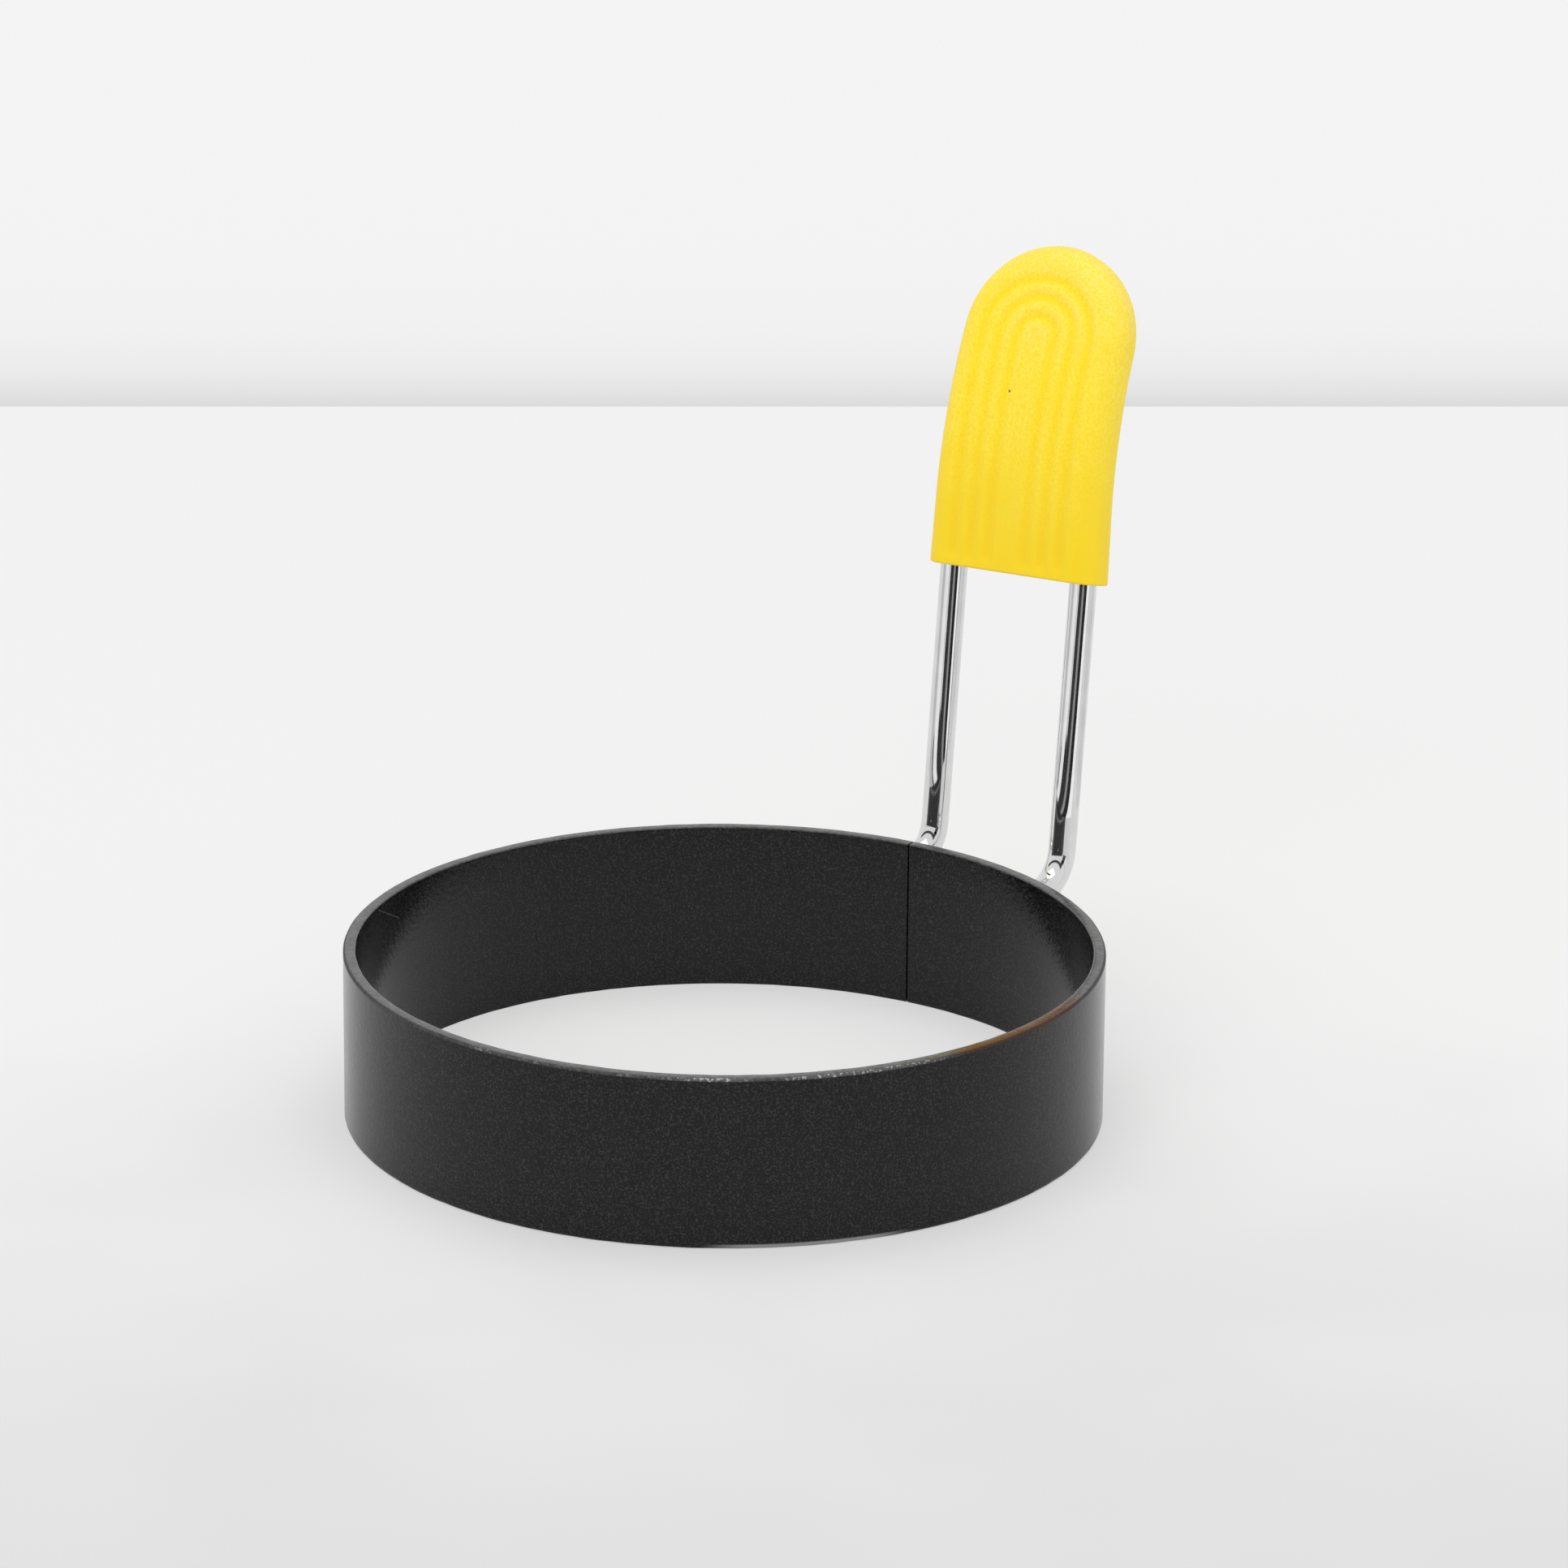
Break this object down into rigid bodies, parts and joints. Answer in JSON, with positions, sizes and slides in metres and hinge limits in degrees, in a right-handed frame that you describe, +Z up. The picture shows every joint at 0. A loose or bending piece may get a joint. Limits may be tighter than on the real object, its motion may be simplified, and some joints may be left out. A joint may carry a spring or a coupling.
{
  "type": "egg ring",
  "caption": "Egg ring: a round non-stick steel band open at top and bottom, an upright bent wire handle welded to its wall, and a ribbed silicone sleeve pushed over the handle's loop.",
  "frame": {"origin": "under the middle of the whole object's outline, in the plane of the band's lower edge", "axes": "+Z up, +Y from the band's middle towards the handle, +X across the handle"},
  "size_m": [0.09, 0.1202, 0.0904],
  "materials": {
    "band_coating": "matte black non-stick coating with a fine grain",
    "handle_steel": "bright polished wire",
    "weld_steel": "plated weld bead",
    "sleeve_silicone": "satin yellow silicone"
  },
  "bodies": {
    "ring": {"ring_band": "band_coating", "handle_wire": "handle_steel", "left_weld": "weld_steel", "right_weld": "weld_steel"},
    "grip": {"grip_sleeve": "sleeve_silicone"}
  },
  "joints": [
    {"name": "sleeve_pull_off", "type": "hinge", "parent": "ring", "child": "grip", "pos_m": [0, 0.11526, 0.05256], "axis": [-1, 0, 0], "range_deg": [0, 36]}
  ]
}
